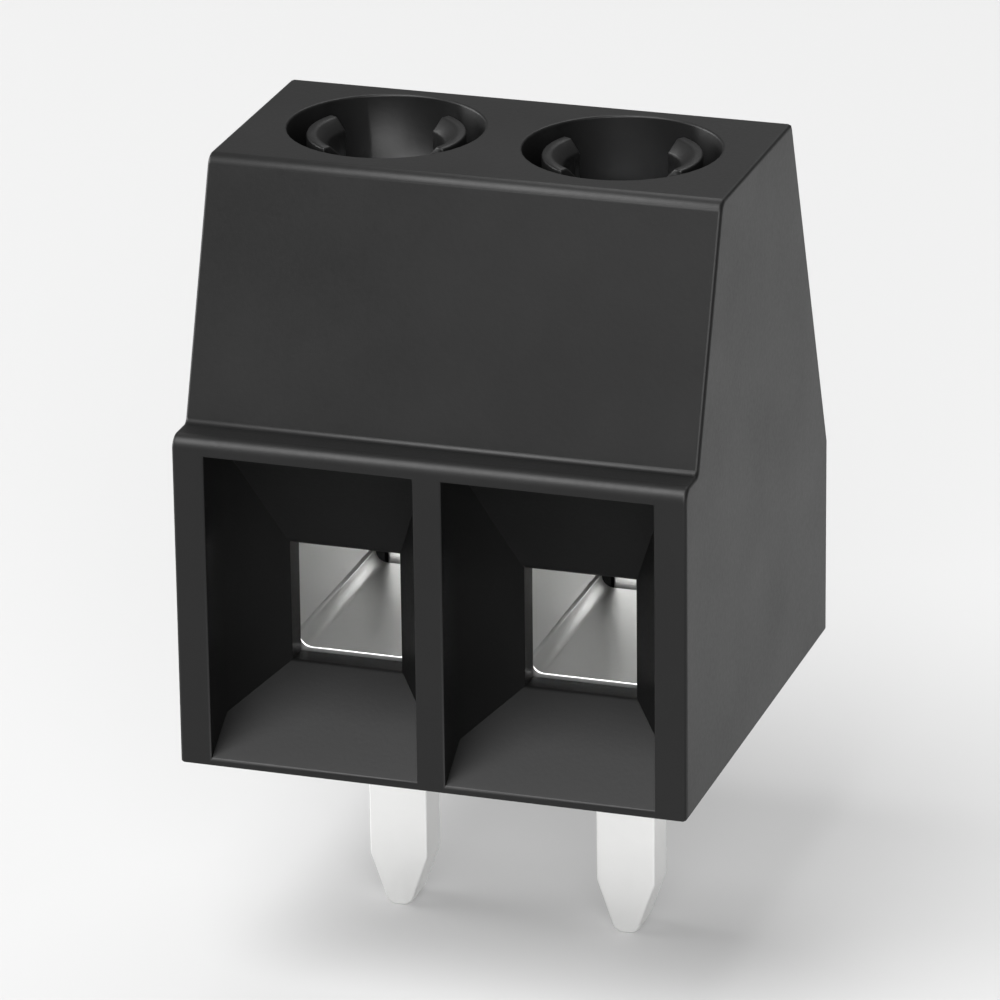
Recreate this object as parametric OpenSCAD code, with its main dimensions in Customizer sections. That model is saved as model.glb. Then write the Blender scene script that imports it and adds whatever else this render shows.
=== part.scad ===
// Two-pole rising-cage screw terminal for a printed circuit board.
// All sizes are in millimetres. The origin lies on the board, midway between
// the two solder pins. +Z points up, and the wires enter along +Y.

/* [Poles] */
// Distance between the two poles
pitch = 5.08; // [4.7:0.01:6.5]

/* [Housing] */
// Front to back length at the board
housing_d = 10.6; // [9.9:0.1:14]
// Height from the board to the top face
housing_h = 12.4; // [12.1:0.1:15.5]
// Height of the upright front box
box_h = 7.2; // [6.6:0.1:8]
// Depth of the ledge on top of the front box
ledge_d = 0.84; // [0.4:0.02:1.2]
// Height at which the back starts to lean forward
knee_z = 4.4; // [2:0.1:6]
// Thickness of each side wall at the front
end_wall = 0.69; // [0.4:0.01:1.5]
// Thickness of the rib between the two wire entries
rib_w = 0.62; // [0.4:0.01:0.9]
// Radius of the moulded edges
edge_r = 0.3; // [0.05:0.05:0.4]

/* [Wire entry] */
// Lip of the front box above the entry
lip_h = 0.4; // [0.3:0.05:0.8]
// Lip of the front box below the entry
toe_h = 0.12; // [0.08:0.02:0.5]
// Depth over which the entry's walls stay parallel
mouth_depth = 1; // [0.2:0.05:1.4]
// Front face to the throat
throat_y = 2.22; // [1.8:0.02:2.5]
// Throat's side walls inside the inner walls of the cage
throat_inset = 0.05; // [0:0.05:0.4]
// Throat's sill below the floor of the open cage
sill_step = 0.05; // [0:0.05:0.3]
// Height of the throat opening
throat_h = 2.6; // [1.8:0.05:2.7]
// Thickness of the wall behind the throat
throat_wall = 0.55; // [0.4:0.05:0.8]

/* [Driver well] */
// Rim of the top face in front of the well
well_rim_front = 0.67; // [0.4:0.01:1.2]
// Rim of the top face behind the well
well_rim_back = 0.37; // [0.3:0.01:1.2]
// Reach of a retaining claw over the screw head
claw_reach = 0.55; // [0.3:0.05:0.7]
// Height of a retaining claw
claw_h = 1.36; // [1:0.02:1.4]
// Thickness of a claw's free lip
claw_t = 0.45; // [0.3:0.05:0.5]
// Height of the root that joins a claw to the wall
claw_root_h = 0.6; // [0.4:0.05:0.9]
// Angle that a claw spans around the well
claw_span = 84; // [40:2:90]
// Turn of the two claws from the row of poles
claw_turn = 15; // [0:1:45]
// Thickness of the shoulder below the screw head
shoulder_t = 0.45; // [0.3:0.05:0.8]

/* [Clamp screw] */
// Diameter of the thread
screw_d = 2.5; // [2:0.1:2.6]
// Diameter of the head
head_d = 3.5; // [3:0.1:3.6]
// Height of the head
head_h = 1.1; // [0.9:0.1:1.2]
// Width of the driver slot
slot_w = 0.5; // [0.4:0.05:0.8]
// Depth of the driver slot
slot_depth = 0.65; // [0.4:0.05:0.8]

/* [Clamp cage] */
// Thickness of the cage's walls and floor
sheet_t = 0.6; // [0.4:0.05:0.65]
// Width inside the cage
cage_inner_w = 2.5; // [2.4:0.05:2.6]
// Length of the cage along the wire
cage_d = 4.9; // [4.2:0.1:5]
// Thickness of the threaded roof
nut_t = 1.4; // [1.1:0.1:1.5]
// Gap that is left between the floor of the shut cage and the bar
shut_gap = 0.15; // [0.05:0.05:0.5]

/* [Contact] */
// Thickness of the contact strip
strip_t = 0.9; // [0.5:0.05:0.9]
// Width of a solder pin
pin_w = 1.3; // [0.8:0.05:1.8]
// Gap between the board and the foot of the strip
foot_lift = 0.05; // [0.05:0.05:0.3]
// Length of a solder pin below the board face
pin_len = 5.2; // [3:0.1:6]
// Front face to the middle of the solder pins
pin_y = 5.7; // [5:0.1:6.5]

/* [Clearances] */
// Gap on each side of a cage in its chamber
cage_gap = 0.1; // [0.05:0.01:0.15]
// Gap on each side of the bar inside the cage
bar_gap = 0.2; // [0.15:0.05:0.4]
// Gap between the screw head and the well
well_gap = 0.3; // [0.1:0.05:0.4]
// Gap around a contact strip in its slots
strip_gap = 0.05; // [0.02:0.01:0.08]
// Radial gap of the screw in its threaded hole
thread_gap = 0.05; // [0.02:0.01:0.1]
// Play along the screw between the bar, the shoulder and the claws
end_play = 0.03; // [0.01:0.01:0.1]

/* [Hidden] */

black = [0.13, 0.13, 0.135];
nickel = [0.74, 0.74, 0.72];
zinc = [0.66, 0.67, 0.68];
tin = [0.86, 0.86, 0.85];

// Cuts run past a face by this much
cut = 1;
// Straight steps in a rounded edge or bend of a profile
arc_steps = 10;
round_fn = 96;

// Plan. Lengths along Y are measured from the front face.
mouth_w = pitch - rib_w;
housing_w = pitch + mouth_w + 2 * end_wall;
front_y = -pin_y;
cage_w = cage_inner_w + 2 * sheet_t;
chamber_w = cage_w + 2 * cage_gap;
chamber_front = throat_y + throat_wall;
chamber_d = cage_d + 2 * cage_gap;
chamber_back = chamber_front + chamber_d;
screw_y = chamber_front + chamber_d / 2;
throat_w = cage_inner_w - 2 * throat_inset;
strip_w = cage_inner_w - 2 * bar_gap;
well_d = head_d + 2 * well_gap;
claw_in = head_d / 2 - claw_reach;
claw_out = claw_in + claw_t;
top_front = screw_y - well_d / 2 - well_rim_front;
top_back = screw_y + well_d / 2 + well_rim_back;

// Heights, from the board upwards, with the clamp open
cage_floor_z = foot_lift + strip_t + cage_gap + sheet_t;
sill_z = cage_floor_z - sill_step;
mouth_top = box_h - lip_h;
throat_top = sill_z + throat_h;
bar_z = throat_top + cage_gap;
bar_top = bar_z + strip_t;
roof_z = bar_top + cage_gap;
cage_top = roof_z + nut_t;
cage_travel = bar_z - cage_floor_z - shut_gap;
ceiling_z = cage_top + cage_travel + cage_gap;
head_z = ceiling_z + shoulder_t + end_play;
head_top = head_z + head_h;
claw_z = head_top + end_play;

// Contact strip
bar_seat = 0.4;
bar_front = chamber_front - bar_seat;
leg_y = chamber_back + strip_gap;
bend_in = 0.25;
bend_out = bend_in + strip_t;
pin_front = pin_y - strip_t / 2;
pin_shoulder_r = 0.3;

// Small edges
sill_r = 0.2;
ledge_inner_r = 0.15;
top_back_r = 0.12;
cage_corner_r = 0.55;
cage_inner_r = 0.25;
cage_rim_r = 0.12;
fold_line_w = 0.12;
fold_line_lift = 0.05;
head_chamfer = 0.18;
tip_chamfer = 0.3;
shoulder_hole_gap = 0.2;
claw_lead = 0.25;
claw_bite = 0.1;
pin_taper = 1.15;
pin_tip_w = 0.5;
pin_tip_r = 0.25;

function arc(centre, r, from, to) = [
    for (i = [0:arc_steps])
        let (a = from + (to - from) * i / arc_steps)
        [centre[0] + r * cos(a), centre[1] + r * sin(a)]
];

// Points of a rounded corner at p, between the edges that come from a and go to b
function rounded(a, p, b, r) =
    let (
        u = (a - p) / norm(a - p),
        v = (b - p) / norm(b - p),
        half = acos(u * v) / 2,
        centre = p + (u + v) / norm(u + v) * r / sin(half),
        start = p + u * r / tan(half) - centre,
        end = p + v * r / tan(half) - centre,
        from = atan2(start[1], start[0]),
        turn = atan2(start[0] * end[1] - start[1] * end[0], start * end)
    )
    arc(centre, r, from, from + turn);

// A polygon whose corners are [x, y, radius]; a radius of 0 keeps the corner sharp
function rounded_outline(corners) = [
    for (i = [0:len(corners) - 1])
        let (
            n = len(corners),
            a = corners[(i + n - 1) % n],
            p = corners[i],
            b = corners[(i + 1) % n],
            flat = [p[0], p[1]]
        )
        each p[2] > 0
            ? rounded([a[0], a[1]], flat, [b[0], b[1]], p[2])
            : [flat]
];

// Extrudes a side view, drawn as [distance from the front face, height], across X
module side_profile(width) {
    translate([-width / 2, front_y, 0])
        rotate([90, 0, 90])
            linear_extrude(width)
                children();
}

// Extrudes a front view, drawn as [x, height], from one depth to another
module front_profile(from, to) {
    translate([0, front_y + to, 0])
        rotate([90, 0, 0])
            linear_extrude(to - from)
                children();
}

// Extrudes a plan, drawn as [x, distance from the front face], between two heights
module plan_profile(from, to) {
    translate([0, front_y, from])
        linear_extrude(to - from)
            children();
}

module at_pole(number) {
    translate([(number - 1.5) * pitch, 0, 0])
        children();
}

module on_screw_axis() {
    translate([0, front_y + screw_y, 0])
        children();
}

// ---- Housing ----

module housing_block() {
    side_profile(housing_w)
        polygon(rounded_outline([
            [0, 0, 0],
            [housing_d, 0, 0],
            [housing_d, knee_z, 0],
            [top_back, housing_h, top_back_r],
            [top_front, housing_h, edge_r],
            [ledge_d, box_h, ledge_inner_r],
            [0, box_h, edge_r]
        ]));
}

// The wire entry: a parallel mouth that narrows on all sides to the throat
module wire_funnel() {
    half_mouth = mouth_w / 2;
    half_throat = throat_w / 2;
    ramp = (sill_z - toe_h) / throat_y;
    intersection() {
        plan_profile(-cut, box_h)
            polygon([
                [-half_mouth, -cut],
                [half_mouth, -cut],
                [half_mouth, mouth_depth],
                [half_throat, throat_y],
                [half_throat, chamber_front + cage_gap],
                [-half_throat, chamber_front + cage_gap],
                [-half_throat, throat_y],
                [-half_mouth, mouth_depth]
            ]);
        side_profile(mouth_w + cut)
            polygon(rounded_outline([
                [-cut, toe_h - cut * ramp, 0],
                [throat_y, sill_z, sill_r],
                [chamber_front + cut, sill_z, 0],
                [chamber_front + cut, throat_top, 0],
                [throat_y, throat_top, sill_r],
                [mouth_depth, mouth_top, 0],
                [-cut, mouth_top, 0]
            ]));
    }
}

// The chamber in which the cage rises, open towards the board
module cage_chamber() {
    half_slot = strip_w / 2 + strip_gap;
    slot_back = leg_y + strip_t + strip_gap;
    plan_profile(-cut, ceiling_z)
        translate([-chamber_w / 2, chamber_front])
            square([chamber_w, chamber_d]);
    plan_profile(-cut, bar_top + strip_gap)
        translate([-half_slot, screw_y])
            square([2 * half_slot, slot_back - screw_y]);
    plan_profile(bar_z - strip_gap, bar_top + strip_gap)
        translate([-half_slot, bar_front - strip_gap])
            square([2 * half_slot, screw_y - bar_front]);
}

module driver_well() {
    on_screw_axis() {
        translate([0, 0, ceiling_z + shoulder_t])
            cylinder(d = well_d, h = housing_h + cut - ceiling_z - shoulder_t, $fn = round_fn);
        translate([0, 0, ceiling_z - cut])
            cylinder(d = screw_d + 2 * shoulder_hole_gap, h = shoulder_t + 2 * cut, $fn = round_fn);
    }
}

// Plan of the sector that a claw takes up around the screw
module claw_sector() {
    side = well_d * tan(claw_span / 2);
    polygon([[0, 0], [well_d, -side], [well_d, side]]);
}

// A claw: a curved lip on a root that joins it to the well's wall
module retaining_claw() {
    difference() {
        intersection() {
            cylinder(r = well_d / 2 + claw_bite, h = claw_h, $fn = round_fn);
            linear_extrude(claw_h)
                claw_sector();
        }
        translate([0, 0, -cut])
            cylinder(r = claw_in, h = claw_h + 2 * cut, $fn = round_fn);
        translate([0, 0, claw_h - claw_lead])
            cylinder(r1 = claw_in, r2 = claw_in + 2 * claw_lead, h = 2 * claw_lead, $fn = round_fn);
        translate([0, 0, claw_root_h])
            difference() {
                cylinder(r = well_d / 2 + claw_bite + cut, h = claw_h, $fn = round_fn);
                translate([0, 0, -cut])
                    cylinder(r = claw_out, h = claw_h + 2 * cut, $fn = round_fn);
            }
    }
}

// Two sprung claws that hold the screw head down in its well
module retaining_claws() {
    on_screw_axis()
        for (side = [0, 180])
            translate([0, 0, claw_z])
                rotate([0, 0, claw_turn + side])
                    retaining_claw();
}

module housing() {
    color(black) {
        difference() {
            housing_block();
            for (number = [1:2])
                at_pole(number) {
                    wire_funnel();
                    cage_chamber();
                    driver_well();
                }
        }
        for (number = [1:2])
            at_pole(number)
                retaining_claws();
    }
}

// ---- Clamp cage ----

module cage_front_view() {
    underside = cage_floor_z - sheet_t;
    half_out = cage_w / 2;
    half_in = cage_inner_w / 2;
    difference() {
        polygon(rounded_outline([
            [-half_out, underside, cage_corner_r],
            [half_out, underside, cage_corner_r],
            [half_out, cage_top, cage_inner_r],
            [-half_out, cage_top, cage_inner_r]
        ]));
        polygon(rounded_outline([
            [-half_in, cage_floor_z, cage_inner_r],
            [half_in, cage_floor_z, cage_inner_r],
            [half_in, roof_z, cage_inner_r],
            [-half_in, roof_z, cage_inner_r]
        ]));
        // Grooves along the folds
        translate([-half_in - fold_line_w, cage_floor_z + cage_inner_r + fold_line_lift])
            square([cage_inner_w + 2 * fold_line_w, fold_line_w]);
    }
}

module clamp_cage() {
    front = screw_y - cage_d / 2;
    back = screw_y + cage_d / 2;
    underside = cage_floor_z - sheet_t;
    color(nickel)
        difference() {
            intersection() {
                front_profile(front, back)
                    cage_front_view();
                side_profile(cage_w + cut)
                    polygon(rounded_outline([
                        [front, underside, cage_rim_r],
                        [back, underside, cage_rim_r],
                        [back, cage_top, cage_rim_r],
                        [front, cage_top, cage_rim_r]
                    ]));
            }
            on_screw_axis()
                translate([0, 0, roof_z - cut])
                    cylinder(d = screw_d + 2 * thread_gap, h = nut_t + 2 * cut, $fn = round_fn);
        }
}

// ---- Clamp screw ----

module clamp_screw() {
    radius = screw_d / 2;
    head_r = head_d / 2;
    tip_z = bar_top + end_play;
    color(zinc)
        on_screw_axis()
            difference() {
                rotate_extrude($fn = round_fn)
                    polygon([
                        [0, tip_z],
                        [radius - tip_chamfer, tip_z],
                        [radius, tip_z + tip_chamfer],
                        [radius, head_z],
                        [head_r, head_z],
                        [head_r, head_top - head_chamfer],
                        [head_r - head_chamfer, head_top],
                        [0, head_top]
                    ]);
                translate([-head_d, -slot_w / 2, head_top - slot_depth])
                    cube([2 * head_d, slot_w, slot_depth + cut]);
            }
}

// ---- Contact and solder pin ----

// The strip's side view: bar, back leg, foot and pin, as one bent band
module strip_side_view() {
    leg_back = leg_y + strip_t;
    foot_top = foot_lift + strip_t;
    polygon(rounded_outline([
        [bar_front, bar_z, 0],
        [leg_y, bar_z, bend_in],
        [leg_y, foot_top, bend_in],
        [pin_front, foot_top, bend_out],
        [pin_front, -pin_len, 0],
        [pin_front + strip_t, -pin_len, 0],
        [pin_front + strip_t, foot_lift, bend_in],
        [leg_back, foot_lift, bend_out],
        [leg_back, bar_top, bend_out],
        [bar_front, bar_top, 0]
    ]));
}

// The strip's front view: full width above the board, then the tapered pin
module strip_front_view() {
    half = strip_w / 2;
    half_pin = pin_w / 2;
    half_tip = pin_tip_w / 2;
    polygon(rounded_outline([
        [-half, bar_top + cut, 0],
        [-half, foot_lift, 0],
        [-half_pin, foot_lift, 0],
        [-half_pin, pin_taper - pin_len, pin_shoulder_r],
        [-half_tip, -pin_len, pin_tip_r],
        [half_tip, -pin_len, pin_tip_r],
        [half_pin, pin_taper - pin_len, pin_shoulder_r],
        [half_pin, foot_lift, 0],
        [half, foot_lift, 0],
        [half, bar_top + cut, 0]
    ]));
}

module contact_pin() {
    color(tin)
        intersection() {
            side_profile(strip_w + cut)
                strip_side_view();
            front_profile(bar_front - cut, leg_y + strip_t + cut)
                strip_front_view();
        }
}

// ---- The seven pieces ----

module clamp_cage_1() {
    at_pole(1) clamp_cage();
}

module clamp_cage_2() {
    at_pole(2) clamp_cage();
}

module clamp_screw_1() {
    at_pole(1) clamp_screw();
}

module clamp_screw_2() {
    at_pole(2) clamp_screw();
}

module contact_pin_1() {
    at_pole(1) contact_pin();
}

module contact_pin_2() {
    at_pole(2) contact_pin();
}

housing();
clamp_cage_1();
clamp_cage_2();
clamp_screw_1();
clamp_screw_2();
contact_pin_1();
contact_pin_2();
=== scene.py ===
import math

import bmesh
import bpy
from mathutils import Matrix, Vector


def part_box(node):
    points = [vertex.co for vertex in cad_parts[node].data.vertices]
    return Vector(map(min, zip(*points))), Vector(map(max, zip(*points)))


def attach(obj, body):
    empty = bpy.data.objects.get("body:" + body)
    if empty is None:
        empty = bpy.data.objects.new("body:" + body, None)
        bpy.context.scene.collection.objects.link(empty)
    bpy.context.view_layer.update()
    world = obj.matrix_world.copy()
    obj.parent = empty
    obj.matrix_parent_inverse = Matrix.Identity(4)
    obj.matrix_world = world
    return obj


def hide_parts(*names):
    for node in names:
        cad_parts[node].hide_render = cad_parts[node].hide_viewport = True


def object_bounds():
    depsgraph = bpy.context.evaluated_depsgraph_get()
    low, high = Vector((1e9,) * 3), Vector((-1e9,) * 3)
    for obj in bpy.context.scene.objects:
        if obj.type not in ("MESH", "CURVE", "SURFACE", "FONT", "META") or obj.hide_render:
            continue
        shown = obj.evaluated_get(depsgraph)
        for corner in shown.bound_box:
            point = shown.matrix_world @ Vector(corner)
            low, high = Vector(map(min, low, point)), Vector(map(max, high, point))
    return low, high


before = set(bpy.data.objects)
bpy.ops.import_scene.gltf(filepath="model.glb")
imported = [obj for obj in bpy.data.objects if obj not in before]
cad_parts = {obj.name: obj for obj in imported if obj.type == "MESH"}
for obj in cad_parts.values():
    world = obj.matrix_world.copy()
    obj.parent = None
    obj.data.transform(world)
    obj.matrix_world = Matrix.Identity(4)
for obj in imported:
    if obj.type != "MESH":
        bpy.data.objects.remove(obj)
cad_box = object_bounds()


# ---- Housing ----
# The housing is one block of black polyamide, injection moulded in a lightly
# spark-eroded tool. Its funnels, chambers and wells come from cores in the
# mould, and every edge has the small radius that such a tool leaves.

# Sizes are in millimetres. A piece is put back into metres when it is finished.
MM = 0.001
side_edge_r = 0.08
mouth_edge_r = 0.06
throat_edge_r = 0.05
well_rim_r = 0.05
claw_edge_r = 0.04
inner_edge_r = 0.03
near = 0.005
weld_distance = 0.0005
flat_angle = 0.5
smooth_below = 35
housing_dark = [0.0036] * 3
housing_light = [0.00448] * 3
housing_gloss = 0.28
housing_roughness = 0.35
cloud_size = 2.4
cloud_start = 0.3
cloud_end = 0.7
cloud_dulling = 0.1
grain_size = 0.09
grain_depth = 0.0016
grain_dulling = 0.08


class Wire:
    """An output socket. Sums and products of wires become Math nodes. add() makes any node."""

    def __init__(self, tree, socket=None):
        self.tree = tree
        self.socket = socket

    def add(self, kind, settings=None, sockets=None, out=0):
        node = self.tree.nodes.new(kind)
        for name, value in (settings or {}).items():
            if name == "stops":
                self.set_stops(node.color_ramp, value)
            else:
                setattr(node, name, value)
        for name, value in (sockets or {}).items():
            if isinstance(value, Wire):
                self.tree.links.new(value.socket, node.inputs[name])
            else:
                node.inputs[name].default_value = value
        return Wire(self.tree, node.outputs[out])

    def set_stops(self, ramp, stops):
        for element, (place, grey) in zip(ramp.elements, stops):
            element.position = place
            element.color = (grey, grey, grey, 1)

    def math(self, operation, first, second):
        return self.add("ShaderNodeMath", {"operation": operation}, {0: first, 1: second})

    def __add__(self, other):
        return self.math("ADD", self, other)

    def __mul__(self, other):
        return self.math("MULTIPLY", self, other)

    __radd__ = __add__
    __rmul__ = __mul__


class Finish:
    """A material under way: its place in millimetres, its textures and its shader."""

    def __init__(self, name, **constants):
        self.material = bpy.data.materials.new(name)
        self.material.use_nodes = True
        self.shader = self.material.node_tree.nodes["Principled BSDF"]
        for socket, value in constants.items():
            self.shader.inputs[socket.replace("_", " ")].default_value = value
        self.wires = Wire(self.material.node_tree)
        place = self.wires.add("ShaderNodeTexCoord", out="Object")
        self.place = self.stretched(place, (1 / MM, 1 / MM, 1 / MM))

    def stretched(self, place, factors):
        return self.wires.add(
            "ShaderNodeVectorMath", {"operation": "MULTIPLY"}, {0: place, 1: factors}
        )

    def noise(self, size, stretch=(1, 1, 1), detail=3.0):
        """Noise whose features are about size millimetres across, longer where stretch is small."""
        return self.wires.add(
            "ShaderNodeTexNoise",
            {"noise_dimensions": "3D"},
            {
                "Vector": self.stretched(self.place, stretch),
                "Scale": 1 / size,
                "Detail": detail,
            },
        )

    def levels(self, wire, *stops):
        """Spreads the part of a wire between two stops over 0 to 1."""
        return self.wires.add("ShaderNodeValToRGB", {"stops": stops}, {"Fac": wire})

    def blend_colours(self, factor, first, second):
        """Mixes two colours, which are the sockets 6 and 7 of a Mix node."""
        return self.wires.add(
            "ShaderNodeMix",
            {"data_type": "RGBA"},
            {"Factor": factor, 6: (*first, 1), 7: (*second, 1)},
            out=2,
        )

    def feed(self, **wires):
        for socket, wire in wires.items():
            self.material.node_tree.links.new(
                wire.socket, self.shader.inputs[socket.replace("_", " ")]
            )

    def raise_grain(self, height, depth):
        """Bump of depth millimetres from a height of 0 to 1."""
        self.feed(
            Normal=self.wires.add(
                "ShaderNodeBump", None, {"Strength": 1.0, "Distance": depth * MM, "Height": height}
            )
        )


def work_on(piece):
    """Selects one piece alone and makes it the active one."""
    bpy.ops.object.select_all(action="DESELECT")
    piece.select_set(True)
    bpy.context.view_layer.objects.active = piece


def apply_modifier(piece, kind, **settings):
    work_on(piece)
    modifier = piece.modifiers.new(kind.title(), kind)
    for name, value in settings.items():
        setattr(modifier, name, value)
    bpy.ops.object.modifier_apply(modifier=modifier.name)


def copied_from_cad(node, name):
    """A copy of a CAD node with whole faces, in millimetres while it is worked on."""
    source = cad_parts[node]
    piece = bpy.data.objects.new(name, source.data.copy())
    bpy.context.scene.collection.objects.link(piece)
    piece.data.transform(Matrix.Scale(1 / MM, 4))
    work_on(piece)
    bpy.ops.object.mode_set(mode="EDIT")
    bpy.ops.mesh.select_all(action="SELECT")
    bpy.ops.mesh.remove_doubles(threshold=weld_distance)
    bpy.ops.mesh.dissolve_limited(angle_limit=math.radians(flat_angle))
    bpy.ops.object.mode_set(mode="OBJECT")
    return piece


def soften_edges(piece, radius, where, sharper_than=25):
    """Rounds the outward edges that pass the where test and turn by more than sharper_than degrees."""
    work_on(piece)
    bpy.ops.object.mode_set(mode="EDIT")
    bpy.ops.mesh.select_mode(type="EDGE")
    bpy.ops.mesh.select_all(action="DESELECT")
    shape = bmesh.from_edit_mesh(piece.data)
    for edge in shape.edges:
        middle = (edge.verts[0].co + edge.verts[1].co) / 2
        turn = math.degrees(edge.calc_face_angle_signed())
        edge.select_set(turn > sharper_than and where(middle))
    bpy.ops.mesh.bevel(offset=radius, segments=2, affect="EDGES", clamp_overlap=False)
    bpy.ops.object.mode_set(mode="OBJECT")


def box_in_mm(node):
    """Lowest and highest corner of a CAD node in millimetres."""
    low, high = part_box(node)
    return low / MM, high / MM


def finish_piece(piece, material, body, node):
    """Puts a piece back into metres, gives it its finish and lets it ride on its body."""
    piece.data.transform(Matrix.Scale(MM, 4))
    work_on(piece)
    bpy.ops.object.shade_smooth_by_angle(angle=math.radians(smooth_below))
    apply_modifier(piece, "WEIGHTED_NORMAL", keep_sharp=True)
    piece.data.materials.clear()
    piece.data.materials.append(material)
    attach(piece, body)
    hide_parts(node)


moulded = Finish("moulded_polyamide", Specular_IOR_Level=housing_gloss)
cloud = moulded.noise(cloud_size, detail=4.0)
grain = moulded.noise(grain_size, detail=2.0)
moulded.feed(
    Base_Color=moulded.blend_colours(
        moulded.levels(cloud, (cloud_start, 0), (cloud_end, 1)), housing_dark, housing_light
    ),
    Roughness=housing_roughness + cloud_dulling * cloud + grain_dulling * grain,
)
moulded.raise_grain(grain, grain_depth)

# The places of the housing's edges: its sides, wells, claws, mouths and throats.
low, high = box_in_mm("housing")
cage_front = box_in_mm("clamp_cage_1")[0].y
screw_top = box_in_mm("clamp_screw_1")[1].z
cage_gap = 0.1
chamber_front = cage_front - cage_gap
wall_clear = 0.2
foot_clear = 0.1
claw_clear = 0.05
rim_depth = 0.1
funnel_depth = 2.0
throat_clear = 0.3
throat_floor = 1.0
throat_ceiling = 4.2
ceiling_clear = 0.05


def between_the_sides(place):
    return abs(place.x) < high.x - wall_clear


def on_a_side(place):
    return abs(place.x) > high.x - near


def on_a_well_rim(place):
    return place.z > high.z - near and not on_a_side(place)


def on_a_claw(place):
    above_the_screw = place.z > screw_top + claw_clear
    return above_the_screw and place.z < high.z - rim_depth and between_the_sides(place)


def on_a_mouth(place):
    above_the_foot = place.z > low.z + foot_clear
    return place.y < low.y + near and above_the_foot and between_the_sides(place)


def where_a_throat_starts(place):
    past_the_funnel = low.y + funnel_depth < place.y < cage_front - throat_clear
    return past_the_funnel and place.z > throat_floor and between_the_sides(place)


def where_a_throat_ends(place):
    below_the_ceiling = place.z < throat_ceiling - ceiling_clear
    return abs(place.y - chamber_front) < near and below_the_ceiling


def on_the_rear_foot(place):
    return place.y > high.y - near and place.z < low.z + near


housing = copied_from_cad("housing", "housing_body")
soften_edges(housing, side_edge_r, on_a_side)
soften_edges(housing, well_rim_r, on_a_well_rim)
soften_edges(housing, claw_edge_r, on_a_claw)
soften_edges(housing, mouth_edge_r, on_a_mouth)
soften_edges(housing, throat_edge_r, where_a_throat_starts)
soften_edges(housing, inner_edge_r, where_a_throat_ends)
soften_edges(housing, mouth_edge_r, on_the_rear_foot)
finish_piece(housing, moulded.material, "base", "housing")


# ---- Clamp cages ----
# Each cage is a closed box of steel strip with a satin nickel plating. Light
# rolling marks run along the wire, and the plating is duller in patches.

cage_edge_r = 0.04
cage_fold_r = 0.1
window_half_w = 1.255
nut_underside = 5.3
flank_clear = 0.2
flank_end_clear = 0.3
square_edges = 50
nickel_dark = (0.95, 0.95, 0.94)
nickel_light = (0.985, 0.985, 0.98)
nickel_roughness = 0.33
along_the_wire = (1, 0.06, 1)
rolled_size = 0.12
rolled_depth = 0.0015
rolled_dulling = 0.1
patch_size = 1.1
patch_dulling = 0.06

plated = Finish("nickel_plating", Metallic=1.0)
rolled = plated.noise(rolled_size, stretch=along_the_wire, detail=4.0)
patches = plated.noise(patch_size, detail=3.0)
plated.feed(
    Base_Color=plated.blend_colours(patches, nickel_dark, nickel_light),
    Roughness=nickel_roughness + rolled_dulling * rolled + patch_dulling * patches,
)
plated.raise_grain(rolled, rolled_depth)


def on_a_window(place):
    at_an_end = abs(place.y - middle.y) > high.y - middle.y - near
    below_the_nut = place.z < nut_underside + near
    return at_an_end and below_the_nut and abs(place.x - middle.x) < window_half_w


def on_a_flank_end(place):
    at_an_end = abs(place.y - middle.y) > high.y - middle.y - cage_fold_r
    beside = abs(place.x - middle.x) > window_half_w + flank_clear
    return at_an_end and beside and low.z + flank_end_clear < place.z < high.z - flank_end_clear


def on_the_nut_hole(place):
    return place.z > high.z - near


for pole in (1, 2):
    low, high = box_in_mm(f"clamp_cage_{pole}")
    middle = (low + high) / 2
    cage = copied_from_cad(f"clamp_cage_{pole}", f"cage_box_{pole}")
    soften_edges(cage, cage_edge_r, on_a_window)
    soften_edges(cage, cage_edge_r, on_the_nut_hole, sharper_than=square_edges)
    soften_edges(cage, cage_edge_r, on_a_flank_end, sharper_than=square_edges)
    finish_piece(cage, plated.material, f"cage_{pole}", f"clamp_cage_{pole}")


# ---- Clamp screws ----
# A slotted M2.5 screw of zinc-plated steel for each pole, turned from bar with
# a cut right-hand metric thread. The first is modelled and copied for the second.

screw_edge_r = 0.03
head_h = 1.1
thread_r = 1.25
thread_pitch = 0.45
thread_depth = 0.613 * thread_pitch
crest_w = thread_pitch / 8
ridge_w = 0.75 * thread_pitch
thread_lead = 0.3
thread_overlap = 0.05
neck_h = 0.35
steps_per_turn = 32
zinc_dark = (0.60, 0.61, 0.62)
zinc_light = (0.74, 0.75, 0.76)
zinc_roughness = 0.24
zinc_size = 0.6
zinc_dulling = 0.14
around_the_bar = (0.15, 0.15, 1)
lathe_size = 0.05
lathe_depth = 0.001
lathe_dulling = 0.06

turned = Finish("zinc_plating", Metallic=1.0)
lathe_marks = turned.noise(lathe_size, stretch=around_the_bar, detail=2.0)
zinc_cloud = turned.noise(zinc_size, detail=3.0)
turned.feed(
    Base_Color=turned.blend_colours(zinc_cloud, zinc_dark, zinc_light),
    Roughness=zinc_roughness + zinc_dulling * zinc_cloud + lathe_dulling * lathe_marks,
)
turned.raise_grain(lathe_marks, lathe_depth)


def boolean(piece, operation, other):
    """Joins a piece with another one or keeps what they share. The other one is used up."""
    apply_modifier(piece, "BOOLEAN", operation=operation, object=other, solver="EXACT")
    bpy.data.objects.remove(other)


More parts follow.
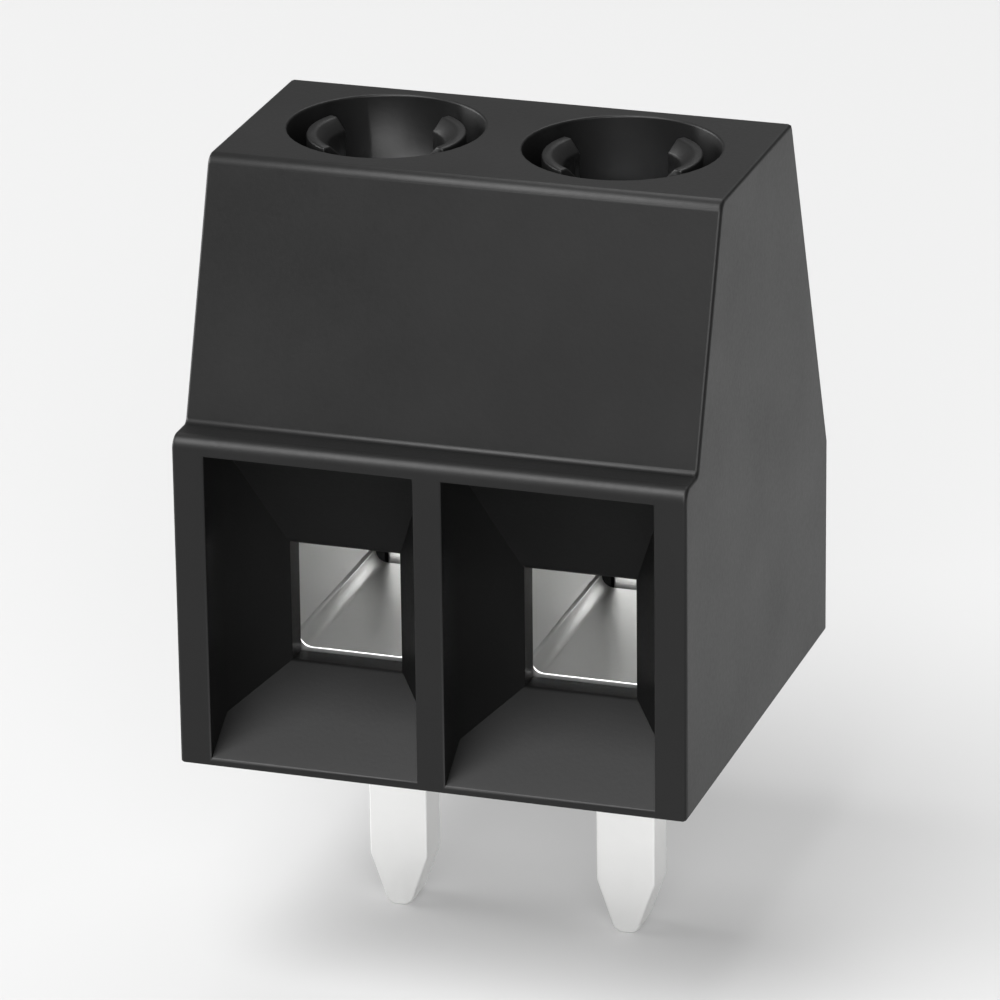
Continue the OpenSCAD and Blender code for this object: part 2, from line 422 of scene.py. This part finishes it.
def thread_ridge(length):
    """A helical ridge around the origin that starts at height 0, with both its ends closed."""
    bpy.ops.mesh.primitive_plane_add(size=1, rotation=(math.pi / 2, 0, 0))
    ridge = bpy.context.object
    bpy.ops.object.transform_apply(location=False, rotation=True, scale=False)
    bpy.ops.object.mode_set(mode="EDIT")
    bpy.ops.transform.resize(
        value=(thread_depth + thread_overlap, 1, ridge_w), center_override=(0, 0, 0)
    )
    bpy.ops.mesh.select_all(action="DESELECT")
    profile = bmesh.from_edit_mesh(ridge.data)
    for corner in profile.verts:
        corner.select_set(corner.co.x > 0)
    profile.select_flush_mode()
    bpy.ops.transform.resize(value=(1, 1, crest_w / ridge_w), center_override=(0, 0, 0))
    bpy.ops.mesh.select_all(action="SELECT")
    bpy.ops.transform.translate(value=(thread_r - thread_depth / 2, 0, 0))
    bpy.ops.object.mode_set(mode="OBJECT")
    turns = length / thread_pitch
    apply_modifier(
        ridge,
        "SCREW",
        angle=2 * math.pi * turns,
        screw_offset=length,
        steps=round(turns * steps_per_turn),
        render_steps=round(turns * steps_per_turn),
    )
    bpy.ops.object.mode_set(mode="EDIT")
    bpy.ops.mesh.select_all(action="SELECT")
    bpy.ops.mesh.fill_holes(sides=4)
    bpy.ops.mesh.select_all(action="SELECT")
    bpy.ops.mesh.normals_make_consistent(inside=False)
    bpy.ops.object.mode_set(mode="OBJECT")
    return ridge


def threaded(screw, axis, tip, neck):
    """Turns the plain shank of a screw down to its core and adds the thread."""
    envelope = bpy.data.objects.new("envelope", screw.data.copy())
    bpy.context.scene.collection.objects.link(envelope)
    work_on(screw)
    bpy.ops.object.mode_set(mode="EDIT")
    bpy.ops.mesh.select_mode(type="VERT")
    bpy.ops.mesh.select_all(action="DESELECT")
    shape = bmesh.from_edit_mesh(screw.data)
    for corner in shape.verts:
        inside = (corner.co.xy - axis.xy).length < thread_r + near
        corner.select_set(inside and corner.co.z < neck + near)
    shape.select_flush_mode()
    core = 1 - thread_depth / thread_r
    bpy.ops.transform.resize(value=(core, core, 1), center_override=axis)
    bpy.ops.object.mode_set(mode="OBJECT")
    ridge = thread_ridge(neck - neck_h - tip + thread_lead)
    ridge.data.transform(Matrix.Translation((axis.x, axis.y, tip - thread_lead)))
    boolean(ridge, "INTERSECT", envelope)
    boolean(screw, "UNION", ridge)


low, high = box_in_mm("clamp_screw_1")
axis = (low + high) / 2
neck = high.z - head_h
screw = copied_from_cad("clamp_screw_1", "screw_1_body")
threaded(screw, axis, low.z, neck)


def on_the_head(place):
    return place.z > neck - near


soften_edges(screw, screw_edge_r, on_the_head)
pole_pitch = (box_in_mm("clamp_screw_2")[0] - low).x
second_screw = bpy.data.objects.new("screw_2_body", screw.data.copy())
bpy.context.scene.collection.objects.link(second_screw)
second_screw.data.transform(Matrix.Translation((pole_pitch, 0, 0)))
for pole, piece in ((1, screw), (2, second_screw)):
    finish_piece(piece, turned.material, f"screw_{pole}", f"clamp_screw_{pole}")


# ---- Contact strips and solder pins ----
# Each pole has one strip of tinned copper alloy, stamped and bent: the bar
# that the wire is pressed against, the leg behind the cage, and the pin.

strip_edge_r = 0.05
shoulder_top = 0.07
shoulder_foot = -0.06
tin_dark = (0.91, 0.91, 0.90)
tin_light = (0.96, 0.96, 0.95)
tin_roughness = 0.34
tin_cloud_size = 0.9
tin_cloud_dulling = 0.12
tin_grain_size = 0.05
tin_grain_depth = 0.0012
tin_grain_dulling = 0.06

tinned = Finish("matt_tin", Metallic=1.0)
tin_cloud = tinned.noise(tin_cloud_size, detail=4.0)
tin_grain = tinned.noise(tin_grain_size, detail=2.0)
tinned.feed(
    Base_Color=tinned.blend_colours(tin_cloud, tin_dark, tin_light),
    Roughness=tin_roughness + tin_cloud_dulling * tin_cloud + tin_grain_dulling * tin_grain,
)
tinned.raise_grain(tin_grain, tin_grain_depth)


def off_the_shoulder(place):
    return place.z > shoulder_top or place.z < shoulder_foot


for pole in (1, 2):
    strip = copied_from_cad(f"contact_pin_{pole}", f"contact_strip_{pole}")
    soften_edges(strip, strip_edge_r, off_the_shoulder)
    finish_piece(strip, tinned.material, "base", f"contact_pin_{pole}")


# ---- Floor, light and camera ----
# The part stands on a pale table top in a light room. One soft box hangs high on
# the wire side, one shines into the mouths, and two more fill the left and back.

# The table, the lamps and the camera are placed in metres.
floor_size = 4.0
floor_dark = [0.35] * 3
floor_light = [0.357] * 3
floor_glow = 0.19
floor_roughness = 0.9
floor_cloud_mm = 40.0

bpy.ops.mesh.primitive_plane_add(size=floor_size, location=(0, 0, cad_box[0][2]))
floor = bpy.context.object
floor.name = "table_top"
table = Finish(
    "pale_table",
    Roughness=floor_roughness,
    Emission_Color=(1, 1, 1, 1),
    Emission_Strength=floor_glow,
)
table_cloud = table.noise(floor_cloud_mm)
table.feed(Base_Color=table.blend_colours(table_cloud, floor_dark, floor_light))
floor.data.materials.append(table.material)


def looking_from(azimuth, elevation):
    """The direction from the object to a place around it. Azimuth 0 is the wire side."""
    around = math.radians(azimuth)
    rise = math.radians(elevation)
    level = math.cos(rise)
    return Vector((math.sin(around) * level, -math.cos(around) * level, math.sin(rise)))


lamp_distance = 0.6
lamp_width = 0.4
room_light = 0.185


def soft_box(name, azimuth, elevation, power):
    back = looking_from(azimuth, elevation)
    bpy.ops.object.light_add(type="AREA", location=back * lamp_distance)
    lamp = bpy.context.object
    lamp.name = name
    lamp.rotation_euler = back.to_track_quat("Z", "Y").to_euler()
    lamp.data.shape = "DISK"
    lamp.data.size = lamp_width
    lamp.data.energy = power


soft_box("high_front_box", azimuth=-22, elevation=60, power=5.0)
soft_box("front_box", azimuth=18, elevation=24, power=3.0)
soft_box("left_box", azimuth=-90, elevation=12, power=3.3)
soft_box("high_back_box", azimuth=180, elevation=55, power=1.3)

world = bpy.data.worlds.new("studio")
bpy.context.scene.world = world
world.use_nodes = True
room = world.node_tree.nodes["Background"]
room.inputs["Color"].default_value = (1, 1, 1, 1)
room.inputs["Strength"].default_value = room_light
bpy.context.scene.view_settings.view_transform = "Standard"

# The camera stands to the right of the wire side and looks down on the part.
camera_azimuth = 18.17
camera_elevation = 21.48
camera_distance = 0.14624
camera_roll = -0.724
camera_target = Vector((0.000091, -0.0012, 0.004716))
film_width = 36
lens_length = 253.5
nearest_view = 0.005

back = looking_from(camera_azimuth, camera_elevation)
right = looking_from(camera_azimuth + 90, 0)
up = back.cross(right)
turn = Matrix.Rotation(math.radians(camera_roll), 3, back)
axes = Matrix((turn @ right, turn @ up, back)).transposed().to_4x4()
bpy.ops.object.camera_add()
camera = bpy.context.object
camera.matrix_world = Matrix.Translation(camera_target + back * camera_distance) @ axes
camera.data.sensor_width = film_width
camera.data.lens = lens_length
camera.data.clip_start = nearest_view
bpy.context.scene.camera = camera
